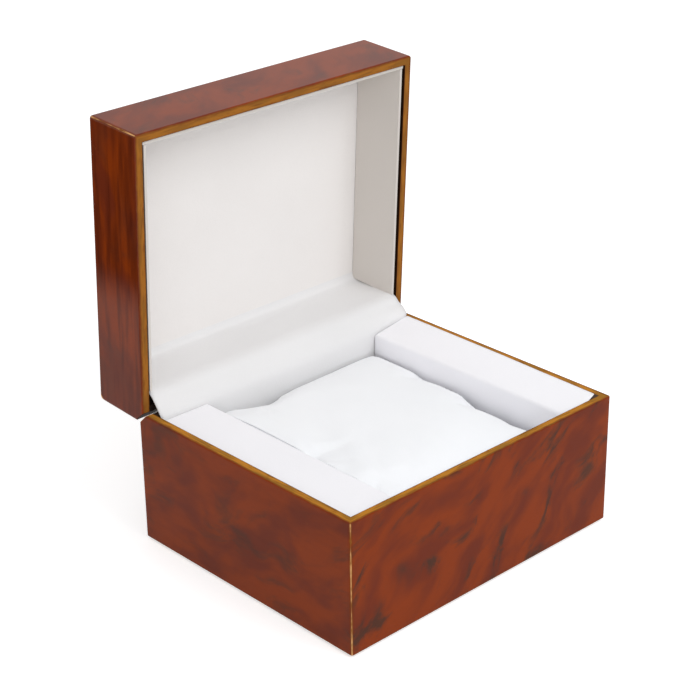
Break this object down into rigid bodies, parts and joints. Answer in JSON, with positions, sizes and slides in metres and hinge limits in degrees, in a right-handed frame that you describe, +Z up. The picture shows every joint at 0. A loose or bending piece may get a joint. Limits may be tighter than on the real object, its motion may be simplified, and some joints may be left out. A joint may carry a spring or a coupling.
{
  "type": "watch box",
  "caption": "Wooden watch box with a hinged lid standing open, white leatherette linings and a plump pillow between two padded ledges.",
  "frame": {"origin": "centre of the base of the box at the underside of its felt, which is what it stands on", "axes": "+Z up, -Y towards the front of the box, +X to the right along the front, along the hinge axis"},
  "size_m": [0.13, 0.1328, 0.1586],
  "materials": {
    "burl_veneer": "walnut burl veneer under glossy lacquer",
    "plain_wood": "bare hardwood and board",
    "white_leatherette": "white leatherette, faintly grained, satin",
    "lining_card": "white covered card, matte",
    "felt": "dark felt",
    "filling": "soft polyester filling",
    "brass": "brushed brass"
  },
  "bodies": {
    "base": {"base_front_wall": "burl_veneer", "base_back_wall": "burl_veneer", "base_left_wall": "burl_veneer", "base_right_wall": "burl_veneer", "base_bottom_panel": "plain_wood", "base_hinge_rail": "plain_wood", "left_ledge_block": "plain_wood", "right_ledge_block": "plain_wood", "left_ledge_cover": "white_leatherette", "right_ledge_cover": "white_leatherette", "hinge_flap": "white_leatherette", "base_floor_lining": "lining_card", "base_front_lining": "lining_card", "base_back_lining": "lining_card", "base_felt": "felt", "left_hinge_base_leaf": "brass", "left_hinge_pin": "brass", "right_hinge_base_leaf": "brass", "right_hinge_pin": "brass", "base_hinge_screws": "brass"},
    "lid": {"lid_front_wall": "burl_veneer", "lid_back_wall": "burl_veneer", "lid_left_wall": "burl_veneer", "lid_right_wall": "burl_veneer", "lid_top_panel": "burl_veneer", "lid_hinge_rail": "plain_wood", "lid_panel_cover": "white_leatherette", "lid_left_lining": "lining_card", "lid_right_lining": "lining_card", "lid_front_lining": "lining_card", "lid_panel_board": "lining_card", "left_hinge_lid_leaf": "brass", "right_hinge_lid_leaf": "brass", "lid_hinge_screws": "brass"},
    "pillow": {"pillow_top_panel": "white_leatherette", "pillow_bottom_panel": "white_leatherette", "pillow_filling": "filling"}
  },
  "joints": [
    {"name": "lid_hinge", "type": "hinge", "parent": "base", "child": "lid", "pos_m": [0, 0.0516, 0.0508], "axis": [1, 0, 0], "range_deg": [0, 87], "deforming": ["hinge_flap"]},
    {"name": "pillow_lift", "type": "slide", "parent": "base", "child": "pillow", "axis": [0, 0, 1], "range_m": [0, 0.08]}
  ]
}
